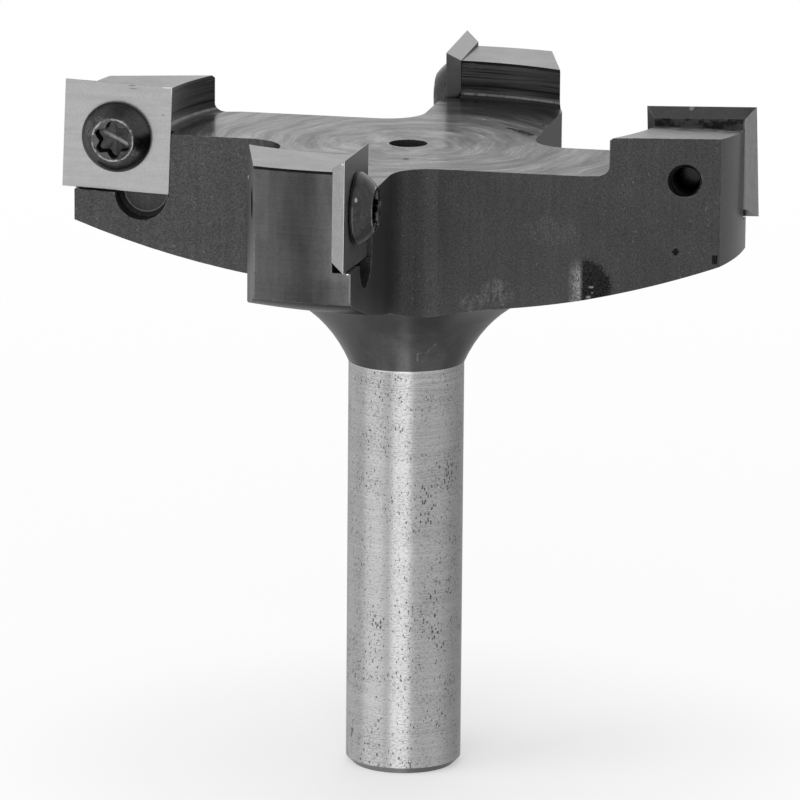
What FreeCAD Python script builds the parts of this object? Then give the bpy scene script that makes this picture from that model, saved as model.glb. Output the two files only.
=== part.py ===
import FreeCAD, Part
import math
import os
import Sketcher

# Surfacing router bit, millimetres and degrees. The origin is the centre of the shank's end face,
# +Z runs along the shank towards the cutting end, and the first wing lies along +X with its
# cutting face towards +Y. The bit cuts turning anticlockwise seen from above.

SIZES = {
    # shank and neck, stacked upwards from the end face
    "shank_diameter": 12.7,
    "shank_length": 45.4,
    "shank_chamfer": 0.75,
    "neck_height": 9.1,
    "neck_reach": 17.5,
    "neck_hollow": 15.3,
    # head, stacked upwards from the neck; its rim is set back from the circle that it cuts
    "cutting_diameter": 76.2,
    "rim_setback": 1.05,
    "underside_rise": 5.1,
    "underside_bulge": 100.0,
    "web_height": 10.0,
    "post_height": 4.1,
    "post_width": 9.75,
    "post_edge_break": 0.25,
    "recess_fillet": 1.0,
    "centre_hole_diameter": 4.2,
    "centre_hole_depth": 8.0,
    "drill_point_angle": 118.0,
    # wings, seen along the axis; offsets are from the wing's own radial line
    "wing_count": 4,
    "front_offset": 1.6,
    "trailing_offset": 13.0,
    "taper_length": 15.55,
    "taper_angle": 15.2,
    "gullet_fillet": 4.4,
    # the first wing's post is ground down towards its seat
    "ground_drop": 0.75,
    "ground_reach": 11.0,
    # inserts and their seats
    "cutting_projection": 1.5,
    "rake_offset": 1.1,
    "insert_side": 12.0,
    "insert_thickness": 1.5,
    "insert_relief": 35.0,
    "insert_bore": 4.4,
    "dish_angle": 2.0,
    "seat_clearance": 0.15,
    "relief_hole_diameter": 5.9,
    "relief_hole_depth": 2.5,
    "relief_hole_inset": 2.8,
    "relief_hole_chamfer": 0.5,
    # clamping screws
    "thread_core": 3.4,
    "thread_play": 0.05,
    "thread_length": 6.4,
    "screw_head_diameter": 7.8,
    "screw_head_height": 2.2,
    "screw_head_rim": 0.4,
    "screw_crown_diameter": 4.6,
    "socket_size": 3.9,
    "socket_waist": 2.8,
    "socket_lobe_width": 0.8,
    "socket_depth": 1.5,
    "socket_lobes": 6,
}

# How far a cutting outline runs past the metal that it removes.
OVERRUN = 6.0

# A feature that changes the volume by less than this many cubic millimetres has missed its metal.
LEAST_CHANGE = 0.01


class Size:
    """A length or ratio that knows its value and the sheet expression behind it."""

    def __init__(self, value, text):
        self.value = value
        self.text = text

    def __add__(self, other):
        other = size(other)
        return Size(self.value + other.value, "(%s + %s)" % (self.text, other.text))

    def __sub__(self, other):
        other = size(other)
        return Size(self.value - other.value, "(%s - %s)" % (self.text, other.text))

    def __mul__(self, other):
        other = size(other)
        return Size(self.value * other.value, "(%s * %s)" % (self.text, other.text))

    def __truediv__(self, other):
        other = size(other)
        return Size(self.value / other.value, "(%s / %s)" % (self.text, other.text))

    def __neg__(self):
        return Size(-self.value, "(-1 * %s)" % self.text)


def size(number):
    """A bare number as a Size; a Size stays as it is."""
    if isinstance(number, Size):
        return number
    return Size(float(number), repr(float(number)))


def named(alias):
    """The size that the sheet holds under this alias."""
    return Size(float(SIZES[alias]), "Sizes." + alias)


def root(a):
    return Size(math.sqrt(a.value), "sqrt(%s)" % a.text)


def cosine(angle):
    return Size(math.cos(math.radians(angle.value)), "cos(%s * 1 deg)" % angle.text)


def sine(angle):
    return Size(math.sin(math.radians(angle.value)), "sin(%s * 1 deg)" % angle.text)


def tangent(angle):
    return Size(math.tan(math.radians(angle.value)), "tan(%s * 1 deg)" % angle.text)


ZERO = size(0)

# heights above the shank's end face
neck_top = named("shank_length") + named("neck_height")
rim_level = neck_top + named("underside_rise")
floor_level = rim_level + named("web_height")
post_top = floor_level + named("post_height")
cutting_level = post_top + named("cutting_projection")

# radii, inwards from the cutting circle
cutting_radius = named("cutting_diameter") / 2
rim_radius = cutting_radius - named("rim_setback")
recess_radius = rim_radius - named("post_width")

# the insert's centre and directions, in the plane of the first wing's cutting face
dish = named("dish_angle")
half_side = named("insert_side") / 2
corner_reach = root(cutting_radius * cutting_radius - named("rake_offset") * named("rake_offset"))
outward = cosine(dish) - sine(dish)
upward = cosine(dish) + sine(dish)
insert_x = corner_reach - half_side * outward
insert_z = cutting_level - half_side * upward
seat_plane = named("rake_offset") - named("insert_thickness")


def make_sheet(doc):
    sheet = doc.addObject("Spreadsheet::Sheet", "Sizes")
    for row, (alias, value) in enumerate(SIZES.items(), start=1):
        sheet.set("A%d" % row, alias)
        sheet.set("B%d" % row, str(value))
        sheet.setAlias("B%d" % row, alias)
    doc.recompute()
    return sheet


def origin_feature(body, role):
    for feature in body.Origin.OriginFeatures:
        if feature.Role == role:
            return feature
    raise ValueError("no origin feature " + role)


def new_sketch(body, name, role, offset=(ZERO, ZERO, ZERO)):
    """A sketch on one of the body's origin planes, shifted in that plane's own frame."""
    sketch = body.newObject("Sketcher::SketchObject", name)
    sketch.AttachmentSupport = [(origin_feature(body, role), "")]
    sketch.MapMode = "FlatFace"
    for letter, shift in zip("xyz", offset):
        if shift is not ZERO:
            sketch.setExpression("AttachmentOffset.Base." + letter, shift.text)
    return sketch


def bind(sketch, constraint, measure):
    """Adds a driving dimension and ties it to its expression."""
    index = sketch.addConstraint(constraint)
    sketch.setExpression("Constraints[%d]" % index, measure.text)


def place_point(sketch, geometry, end, x, y):
    """Holds a point at x, y, on an axis where the distance is nothing."""
    if x is ZERO:
        sketch.addConstraint(Sketcher.Constraint("PointOnObject", geometry, end, -2))
    else:
        bind(sketch, Sketcher.Constraint("DistanceX", -1, 1, geometry, end, x.value), x)
    if y is ZERO:
        sketch.addConstraint(Sketcher.Constraint("PointOnObject", geometry, end, -1))
    else:
        bind(sketch, Sketcher.Constraint("DistanceY", -1, 1, geometry, end, y.value), y)


def arc_between(start, finish, radius, centre_left):
    """The short arc from start to finish, and whether it runs anticlockwise."""
    chord = finish - start
    middle = (start + finish) * 0.5
    left = FreeCAD.Vector(-chord.y, chord.x, 0).normalize()
    rise = math.sqrt(radius ** 2 - (chord.Length / 2) ** 2)
    centre = middle + left * (rise if centre_left else -rise)
    first, last = (start, finish) if centre_left else (finish, start)
    from_angle = math.atan2(first.y - centre.y, first.x - centre.x)
    to_angle = math.atan2(last.y - centre.y, last.x - centre.x)
    if to_angle < from_angle:
        to_angle += 2 * math.pi
    circle = Part.Circle(centre, FreeCAD.Vector(0, 0, 1), radius)
    return Part.ArcOfCircle(circle, from_angle, to_angle)


def outline(sketch, corners, arcs=None):
    """A closed outline through corners. arcs maps the number of a side, counted from the corner
    that it leaves, to its radius and to whether its centre lies to the left of the way round."""
    arcs = arcs or {}
    points = [FreeCAD.Vector(x.value, y.value, 0) for x, y in corners]
    ends = []
    for number, start in enumerate(points):
        finish = points[(number + 1) % len(points)]
        if number in arcs:
            radius, centre_left = arcs[number]
            side = sketch.addGeometry(arc_between(start, finish, radius.value, centre_left), False)
            bind(sketch, Sketcher.Constraint("Radius", side, radius.value), radius)
            ends.append((side, 1, 2) if centre_left else (side, 2, 1))
        else:
            side = sketch.addGeometry(Part.LineSegment(start, finish), False)
            ends.append((side, 1, 2))
    for number, (side, leaves, arrives) in enumerate(ends):
        following, following_leaves, _ = ends[(number + 1) % len(ends)]
        sketch.addConstraint(
            Sketcher.Constraint("Coincident", side, arrives, following, following_leaves))
        place_point(sketch, side, leaves, *corners[number])


def circle(sketch, x, y, diameter):
    centre = FreeCAD.Vector(x.value, y.value, 0)
    ring = Part.Circle(centre, FreeCAD.Vector(0, 0, 1), diameter.value / 2)
    geometry = sketch.addGeometry(ring, False)
    bind(sketch, Sketcher.Constraint("Diameter", geometry, diameter.value), diameter)
    place_point(sketch, geometry, 3, x, y)


def finish_feature(body, feature, added):
    """Recomputes, and stops if the feature neither added nor removed metal as it should."""
    before = 0.0
    if not body.Shape.isNull():
        before = body.Shape.Volume
    body.Tip = feature
    body.Document.recompute()
    change = body.Shape.Volume - before
    if not added:
        change = -change
    if change < LEAST_CHANGE:
        raise RuntimeError("%s %s changes nothing" % (body.Label, feature.Name))
    return feature


def pad(body, sketch, name, length, taper=None):
    feature = body.newObject("PartDesign::Pad", name)
    feature.Profile = sketch
    feature.setExpression("Length", length.text)
    if taper:
        feature.setExpression("TaperAngle", taper.text)
    return finish_feature(body, feature, added=True)


def pocket(body, sketch, name, length=None, along_normal=False):
    """A pocket of this depth, or through everything where no depth is given."""
    feature = body.newObject("PartDesign::Pocket", name)
    feature.Profile = sketch
    feature.Reversed = along_normal
    if length:
        feature.setExpression("Length", length.text)
    else:
        feature.Type = "ThroughAll"
    return finish_feature(body, feature, added=False)


def turned(body, sketch, name, kind):
    """A full turn of the sketch about its own upright axis."""
    feature = body.newObject("PartDesign::" + kind, name)
    feature.Profile = sketch
    feature.ReferenceAxis = (sketch, ["V_Axis"])
    feature.Angle = 360
    return finish_feature(body, feature, added=kind == "Revolution")


def around(body, original, name, count, axis):
    """Repeats a feature evenly about an axis."""
    feature = body.newObject("PartDesign::PolarPattern", name)
    feature.Originals = [original]
    feature.Axis = axis
    feature.Angle = 360
    feature.setExpression("Occurrences", count.text)
    return finish_feature(body, feature, added=False)


def new_body(doc, label, wing=1):
    """A body whose own axes turn with its wing about the tool's axis."""
    body = doc.addObject("PartDesign::Body", label)
    body.Label = label
    turn = size(wing - 1) * 360 / named("wing_count")
    upright = FreeCAD.Vector(0, 0, 1)
    body.Placement = FreeCAD.Placement(FreeCAD.Vector(0, 0, 0), FreeCAD.Rotation(upright, turn.value))
    body.setExpression("Placement.Rotation.Angle", "%s * 1 deg" % turn.text)
    return body


def turned_blank(body):
    """Shank, hollow neck, bowl-shaped underside, rim and the recess in the face."""
    shank = named("shank_diameter") / 2
    chamfer = named("shank_chamfer")
    fillet = named("recess_fillet")
    edge = named("post_edge_break")
    corners = [
        (ZERO, ZERO),
        (shank - chamfer, ZERO),
        (shank, chamfer),
        (shank, named("shank_length")),
        (named("neck_reach"), neck_top),
        (rim_radius, rim_level),
        (rim_radius, post_top - edge),
        (rim_radius - edge, post_top),
        (recess_radius + edge, post_top),
        (recess_radius, post_top - edge),
        (recess_radius, floor_level + fillet),
        (recess_radius - fillet, floor_level),
        (ZERO, floor_level),
    ]
    arcs = {
        3: (named("neck_hollow"), False),
        4: (named("underside_bulge"), True),
        10: (fillet, False),
    }
    sketch = new_sketch(body, "blank_section", "XZ_Plane")
    outline(sketch, corners, arcs)
    turned(body, sketch, "turned_blank", "Revolution")


def gullets(body):
    """What is milled away between one wing's back and the next wing's front."""
    front = named("front_offset")
    back = named("trailing_offset")
    fillet = named("gullet_fillet")
    start = rim_radius - named("taper_length")
    far = rim_radius + OVERRUN
    taper_rise = (far - start) * tangent(named("taper_angle"))
    corners = [
        (front, -far),
        (far, -far),
        (far, taper_rise - back),
        (start, -back),
        (front + fillet, -back),
        (front, -(back + fillet)),
    ]
    sketch = new_sketch(body, "gullet_outline", "XY_Plane")
    outline(sketch, corners, {4: (fillet, True)})
    cut = pocket(body, sketch, "gullet", along_normal=True)
    axis = (origin_feature(body, "Z_Axis"), [""])
    around(body, cut, "gullets", named("wing_count"), axis)


def seats(body):
    """The tilted seat of each insert, open outwards and upwards."""
    reach = half_side + named("seat_clearance")
    far = half_side + OVERRUN
    level = cosine(dish)
    lean = sine(dish)
    corners = []
    for along, up in ((-reach, -reach), (far, -reach), (far, far), (-reach, far)):
        corners.append((insert_x + along * level - up * lean, insert_z + along * lean + up * level))
    depth = named("front_offset") - seat_plane
    sketch = new_sketch(body, "seat_outline", "XZ_Plane", (ZERO, ZERO, -named("front_offset")))
    outline(sketch, corners)
    cut = pocket(body, sketch, "seat", depth, along_normal=True)
    around(body, cut, "seats", named("wing_count"), (origin_feature(body, "Z_Axis"), [""]))


def relief_holes(body):
    """The flat-bottomed hole under each insert's lower edge, with a sloping floor corner."""
    radius = named("relief_hole_diameter") / 2
    corner = named("relief_hole_chamfer")
    floor = named("front_offset") - named("relief_hole_depth")
    mouth = named("front_offset") + OVERRUN
    x = insert_x - named("relief_hole_inset")
    z = insert_z - half_side - named("seat_clearance")
    corners = [
        (ZERO, floor),
        (radius - corner, floor),
        (radius, floor + corner),
        (radius, mouth),
        (ZERO, mouth),
    ]
    sketch = new_sketch(body, "relief_hole_section", "XY_Plane", (x, ZERO, z))
    outline(sketch, corners)
    cut = turned(body, sketch, "relief_hole", "Groove")
    around(body, cut, "relief_holes", named("wing_count"), (origin_feature(body, "Z_Axis"), [""]))


def tapped_holes(body):
    """The through hole of each clamping screw, at the core diameter of its thread."""
    sketch = new_sketch(body, "tapped_hole_place", "XZ_Plane", (ZERO, ZERO, -seat_plane))
    circle(sketch, insert_x, insert_z, named("thread_core"))
    cut = pocket(body, sketch, "tapped_hole", along_normal=True)
    around(body, cut, "tapped_holes", named("wing_count"), (origin_feature(body, "Z_Axis"), [""]))


def centre_hole(body):
    """The drilled hole on the axis, with its drill point."""
    sketch = new_sketch(body, "centre_hole_place", "XY_Plane", (ZERO, ZERO, floor_level))
    circle(sketch, ZERO, ZERO, named("centre_hole_diameter"))
    body.Document.recompute()
    hole = body.newObject("PartDesign::Hole", "centre_hole")
    hole.Profile = sketch
    hole.setExpression("Diameter", named("centre_hole_diameter").text)
    hole.setExpression("Depth", named("centre_hole_depth").text)
    hole.DepthType = "Dimension"
    hole.DrillPoint = "Angled"
    hole.setExpression("DrillPointAngle", named("drill_point_angle").text)
    finish_feature(body, hole, added=False)


def ground_post(body):
    """The first post's top, ground to a slope that falls towards the seat."""
    drop = named("ground_drop")
    reach = named("ground_reach")
    past = size(OVERRUN)
    fall = drop * (reach + past) / reach
    corners = [
        (seat_plane - reach, post_top),
        (seat_plane + past, post_top - fall),
        (seat_plane + past, post_top + past),
        (seat_plane - reach, post_top + past),
    ]
    inner = recess_radius - OVERRUN
    sketch = new_sketch(body, "ground_post_section", "YZ_Plane", (ZERO, ZERO, inner))
    outline(sketch, corners)
    width = rim_radius + OVERRUN - inner
    pocket(body, sketch, "ground_post", width, along_normal=True)


def cutter_body(doc):
    body = new_body(doc, "cutter_body")
    turned_blank(body)
    gullets(body)
    seats(body)
    relief_holes(body)
    tapped_holes(body)
    centre_hole(body)
    ground_post(body)
    return body


def carbide_insert(doc, wing):
    """A square insert, its cutting face larger than its back by the relief on all four sides."""
    body = new_body(doc, "carbide_insert_%d" % wing, wing)
    corners = []
    for along, up in ((-half_side, -half_side), (half_side, -half_side),
                      (half_side, half_side), (-half_side, half_side)):
        x = insert_x + along * cosine(dish) - up * sine(dish)
        z = insert_z + along * sine(dish) + up * cosine(dish)
        corners.append((x, z))
    offset = (ZERO, ZERO, -named("rake_offset"))
    face = new_sketch(body, "cutting_face_%d" % wing, "XZ_Plane", offset)
    outline(face, corners)
    taper = -named("insert_relief")
    pad(body, face, "insert_blank_%d" % wing, named("insert_thickness"), taper)
    bore = new_sketch(body, "insert_bore_place_%d" % wing, "XZ_Plane", offset)
    circle(bore, insert_x, insert_z, named("insert_bore"))
    pocket(body, bore, "insert_bore_%d" % wing, along_normal=True)
    return body


def clamp_screw(doc, wing):
    """A button-head screw with a six-lobe socket; its thread is drawn at the core diameter."""
    body = new_body(doc, "clamp_screw_%d" % wing, wing)
    bearing = named("rake_offset")
    head = named("screw_head_diameter") / 2
    crown = named("screw_crown_diameter") / 2
    top = bearing + named("screw_head_height")
    core = named("thread_core") / 2 - named("thread_play")
    tip = seat_plane - named("thread_length")
    corners = [
        (ZERO, tip),
        (core, tip),
        (core, bearing),
        (head, bearing),
        (head, bearing + named("screw_head_rim")),
        (crown, top),
        (ZERO, top),
    ]
    section = new_sketch(body, "screw_section_%d" % wing, "XY_Plane", (insert_x, ZERO, insert_z))
    outline(section, corners)
    turned(body, section, "screw_blank_%d" % wing, "Revolution")
    socket(body, wing, top)
    return body


def socket(body, wing, top):
    """One lobe's share of the socket, repeated about the screw's axis."""
    sketch = new_sketch(body, "socket_lobe_%d" % wing, "XZ_Plane", (insert_x, insert_z, -top))
    half_share = size(180) / named("socket_lobes")
    waist_x = named("socket_waist") / 2 * cosine(half_share)
    waist_y = named("socket_waist") / 2 * sine(half_share)
    tip = named("socket_size") / 2
    half_lobe = named("socket_lobe_width") / 2
    corners = [
        (ZERO, ZERO),
        (waist_x, -waist_y),
        (tip, -half_lobe),
        (tip, half_lobe),
        (waist_x, waist_y),
    ]
    outline(sketch, corners)
    cut = pocket(body, sketch, "socket_share_%d" % wing, named("socket_depth"), along_normal=True)
    around(body, cut, "socket_%d" % wing, named("socket_lobes"), (sketch, ["N_Axis"]))


def check(doc, bodies):
    """Every object computed, and every piece one valid solid."""
    doc.recompute()
    for item in doc.Objects:
        if "Invalid" in item.State or "Error" in item.State:
            raise RuntimeError("%s did not compute" % item.Name)
    for body in bodies:
        shape = body.Shape
        if shape.isNull() or not shape.isValid() or len(shape.Solids) != 1:
            raise RuntimeError("%s is not one valid solid" % body.Label)
        print("%-18s %10.2f mm3" % (body.Label, shape.Volume))


def main():
    doc = FreeCAD.newDocument("surfacing_router_bit")
    make_sheet(doc)
    bodies = [cutter_body(doc)]
    for wing in range(1, SIZES["wing_count"] + 1):
        bodies.append(carbide_insert(doc, wing))
        bodies.append(clamp_screw(doc, wing))
    check(doc, bodies)
    os.makedirs("parts", exist_ok=True)
    for body in bodies:
        body.Shape.exportStep("parts/%s.step" % body.Label)


main()
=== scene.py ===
import math

import bmesh
import bpy
from mathutils import Matrix, Vector


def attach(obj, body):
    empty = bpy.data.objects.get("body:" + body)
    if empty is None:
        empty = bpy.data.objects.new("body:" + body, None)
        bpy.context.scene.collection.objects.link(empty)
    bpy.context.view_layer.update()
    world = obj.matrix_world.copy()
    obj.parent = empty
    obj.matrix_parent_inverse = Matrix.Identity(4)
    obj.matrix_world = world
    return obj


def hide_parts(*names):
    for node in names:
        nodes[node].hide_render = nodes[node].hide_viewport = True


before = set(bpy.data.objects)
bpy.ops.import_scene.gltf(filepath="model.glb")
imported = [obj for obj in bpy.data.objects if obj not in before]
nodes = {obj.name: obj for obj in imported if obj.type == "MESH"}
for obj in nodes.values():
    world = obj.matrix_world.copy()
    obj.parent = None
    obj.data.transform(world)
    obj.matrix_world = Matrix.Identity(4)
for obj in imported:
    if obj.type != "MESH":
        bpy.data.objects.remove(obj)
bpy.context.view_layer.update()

# Lengths are written in millimetres and turned into the scene's metres by MM.
MM = 0.001

# the places that the model's sizes give, in the first wing's own axes
SHANK_RADIUS = 6.35
SHANK_TOP = 45.4
NECK_TOP = 54.5
FLOOR = 69.6
POST_TOP = 73.7
RIM_RADIUS = 37.05
RECESS_RADIUS = 27.3
# the wings' underside lies below this height, and bends down into the neck inside this radius
BOWL_TOP = 61.6
BOWL_INNER = 22.0
TRAILING = 13.0
TAPER_START = 21.5
TAPER_ANGLE = 15.2
INSERT_X = 32.2972
INSERT_Z = 68.9943
RAKE_Y = 1.1
SEAT_Y = -0.4
RELIEF_X = 29.5
RELIEF_Z = 62.84
RELIEF_RING = 2.45
# the screws end this far behind the seat, in tapped holes of this radius
SCREW_REACH = 6.4
HOLE_RADIUS = 1.7
WINGS = 4

# the first wing's trailing face has a black stain, in x and z, with a border at its left
STAIN_X, STAIN_Z = 21.5, 56.0
STAIN_BORDER = 21.7

# how far each screw's socket is turned, in degrees
SPINS = (12.0, 41.0, 35.0, 5.0)


def turn(wing):
    """The turn about the tool's axis that brings the first wing to this one."""
    return Matrix.Rotation(math.tau * (wing - 1) / WINGS, 4, "Z")


# ---------------------------------------------------------------- materials

class Tree:
    """Short names for the nodes that the materials and the world are made of."""

    def link(self, source, socket):
        """Joins a socket to another, or sets it to a number or a vector."""
        if isinstance(source, bpy.types.NodeSocket):
            self.tree.links.new(source, socket)
        elif isinstance(source, Vector):
            socket.default_value = tuple(source)
        else:
            socket.default_value = source

    def vector(self, operation, a, b=None, scale=None):
        node = self.tree.nodes.new("ShaderNodeVectorMath")
        node.operation = operation
        self.link(a, node.inputs[0])
        if b is not None:
            self.link(b, node.inputs[1])
        if scale is not None:
            self.link(scale, node.inputs["Scale"])
        return node.outputs["Value" if operation in ("DOT_PRODUCT", "LENGTH") else "Vector"]

    def split(self, vector):
        node = self.tree.nodes.new("ShaderNodeSeparateXYZ")
        self.link(vector, node.inputs[0])
        return node.outputs[0], node.outputs[1], node.outputs[2]

    def join(self, x, y, z):
        node = self.tree.nodes.new("ShaderNodeCombineXYZ")
        for socket, value in zip(node.inputs, (x, y, z)):
            self.link(value, socket)
        return node.outputs[0]

    def math(self, operation, a, b=None, c=None, clamp=False):
        node = self.tree.nodes.new("ShaderNodeMath")
        node.operation = operation
        node.use_clamp = clamp
        for socket, value in zip(node.inputs, (a, b, c)):
            if value is not None:
                self.link(value, socket)
        return node.outputs[0]

    def plus(self, a, b):
        return self.math("ADD", a, b)

    def minus(self, a, b):
        return self.math("SUBTRACT", a, b)

    def times(self, a, b):
        return self.math("MULTIPLY", a, b)

    def most(self, a, b):
        return self.math("MAXIMUM", a, b)

    def least(self, a, b):
        return self.math("MINIMUM", a, b)

    def step(self, value, low, high, out_low=0.0, out_high=1.0):
        """Eases from out_low to out_high as value goes from low to high."""
        node = self.tree.nodes.new("ShaderNodeMapRange")
        node.interpolation_type = "SMOOTHSTEP"
        flip = low > high
        if flip:
            low, high, out_low, out_high = high, low, out_high, out_low
        for socket, number in zip(("From Min", "From Max", "To Min", "To Max"),
                                  (low, high, out_low, out_high)):
            node.inputs[socket].default_value = number
        self.link(value, node.inputs["Value"])
        return node.outputs["Result"]

    def band(self, value, middle, half, soft):
        """1 within half of middle, easing to 0 over soft."""
        distance = self.math("ABSOLUTE", self.minus(value, middle))
        return self.step(distance, half + soft, half)

    def stretched(self, stretch, at):
        place = at if at is not None else self.at
        return self.vector("MULTIPLY", place, stretch) if stretch else place

    def noise(self, scale, detail=2.0, rough=0.5, stretch=None, at=None, distort=0.0):
        """Noise of about this many cells per millimetre, stretched by a factor on each axis."""
        node = self.tree.nodes.new("ShaderNodeTexNoise")
        self.link(self.stretched(stretch, at), node.inputs["Vector"])
        for socket, number in (("Scale", scale), ("Detail", detail), ("Roughness", rough),
                               ("Distortion", distort)):
            node.inputs[socket].default_value = number
        return node.outputs["Fac"]

    def cells(self, scale, stretch=None, at=None):
        """The distance to the nearest of random points, this many of them per millimetre."""
        node = self.tree.nodes.new("ShaderNodeTexVoronoi")
        self.link(self.stretched(stretch, at), node.inputs["Vector"])
        node.inputs["Scale"].default_value = scale
        return node.outputs["Distance"]

    def varied(self, base, *parts):
        """base times one plus each part's strength times its noise about a half."""
        value = base
        for noise, strength in parts:
            change = self.math("MULTIPLY_ADD", noise, 2 * strength, 1 - strength)
            value = self.times(value, change)
        return value

    def about(self, middle, noise, spread):
        """middle, up or down by half of spread at most as the noise is high or low."""
        return self.plus(middle, self.times(self.minus(noise, 0.5), spread))

    def swing(self, noise, gain):
        """1, up or down by half of gain at most as the noise is high or low."""
        return self.math("MULTIPLY_ADD", self.minus(noise, 0.5), gain, 1.0)

    def span(self, a, b):
        """The length of the diagonal over two sides."""
        return self.vector("LENGTH", self.join(a, b, 0.0))

    def towards(self, factor, a, b):
        """a where factor is 0, and b where it is 1."""
        node = self.tree.nodes.new("ShaderNodeMix")
        node.data_type = "FLOAT"
        self.link(factor, node.inputs[0])
        self.link(a, node.inputs[2])
        self.link(b, node.inputs[3])
        return node.outputs[0]


class Shader(Tree):
    """A surface whose positions are in millimetres in the row frame."""

    def __init__(self, name, **constants):
        self.material = bpy.data.materials.new(name)
        self.material.use_nodes = True
        self.tree = self.material.node_tree
        self.surface = self.tree.nodes["Principled BSDF"]
        for socket, value in constants.items():
            self.surface.inputs[socket.replace("_", " ")].default_value = value
        place = self.tree.nodes.new("ShaderNodeTexCoord")
        self.at = self.vector("SCALE", place.outputs["Object"], scale=1.0 / MM)
        self.x, self.y, self.z = self.split(self.at)
        self.radius = self.span(self.x, self.y)
        self.normal = self.tree.nodes.new("ShaderNodeNewGeometry").outputs["Normal"]

    def spot(self, centre, size):
        """1 in a soft ellipsoid of these half sizes about a point, and 0 outside."""
        away = self.vector("SUBTRACT", self.at, centre)
        away = self.vector("MULTIPLY", away, [1.0 / length for length in size])
        return self.step(self.vector("LENGTH", away), 1.15, 0.75)

    def wing_place(self):
        """How far out along its own wing a point lies, and how far towards the leading side."""
        flat_x, flat_y = self.math("ABSOLUTE", self.x), self.math("ABSOLUTE", self.y)
        by_x = self.math("GREATER_THAN", flat_x, flat_y)
        along_x = self.times(self.y, self.math("SIGN", self.x))
        along_y = self.times(self.x, self.math("SIGN", self.y))
        return self.most(flat_x, flat_y), self.towards(by_x, self.times(along_y, -1.0), along_x)

    def line(self, start, end, width, keep=(1.0, 1.0, 1.0)):
        """1 along a straight scratch of this width between two points, and 0 away from it. keep
        is 0 on an axis along which the distance doesn't count."""
        run = (Vector(end) - Vector(start)) * Vector(keep)
        away = self.vector("MULTIPLY", self.vector("SUBTRACT", self.at, start), keep)
        share = self.math("MULTIPLY", self.vector("DOT_PRODUCT", away, run),
                          1.0 / run.length_squared, clamp=True)
        off = self.vector("SUBTRACT", away, self.vector("SCALE", run, scale=share))
        return self.step(self.vector("LENGTH", off), width * 0.7, width * 0.3)

    def round_the_axis(self):
        """Turns the highlights of a turned or ground surface along its height."""
        tangent = self.tree.nodes.new("ShaderNodeTangent")
        tangent.direction_type = "RADIAL"
        tangent.axis = "Z"
        self.link(tangent.outputs[0], self.surface.inputs["Tangent"])

    def rings(self, fine, wide):
        """Where noise is looked up for turned rings: fine across them, wide along them."""
        return self.join(self.times(self.radius, fine), self.times(self.x, wide),
                         self.times(self.y, wide))

    def front_rim(self):
        """1 on the front wing's outer end."""
        return self.step(self.y, -34.0, -35.0)

    def edges(self, radius):
        """About 1 on the sharp edges and 0 on the faces, and the normal rounded over them."""
        node = self.tree.nodes.new("ShaderNodeBevel")
        node.samples = 12
        node.inputs["Radius"].default_value = radius * MM
        rounded = node.outputs[0]
        same = self.vector("DOT_PRODUCT", rounded, self.normal)
        return self.step(same, 0.995, 0.80), rounded

    def paint(self, grey, rough, height, depth, tint=(1.0, 1.0, 1.0), normal=None, metal=None):
        """Sets the colour from a grey, the roughness and a bump of depth millimetres, and gives
        the material."""
        colour = self.vector("SCALE", tint, scale=grey)
        self.link(colour, self.surface.inputs["Base Color"])
        self.link(rough, self.surface.inputs["Roughness"])
        if metal is not None:
            self.link(metal, self.surface.inputs["Metallic"])
        bump = self.tree.nodes.new("ShaderNodeBump")
        bump.inputs["Strength"].default_value = 1.0
        bump.inputs["Distance"].default_value = depth * MM
        self.link(height, bump.inputs["Height"])
        if normal is not None:
            self.link(normal, bump.inputs["Normal"])
        self.link(bump.outputs[0], self.surface.inputs["Normal"])
        return self.material


# the blackened steel's very slightly blue tint
COOL = (1.0, 1.0, 1.02)

# how much of the glancing shine a roughly machined metal keeps
EDGE_TINT = (0.5, 0.5, 0.5, 1.0)


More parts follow.
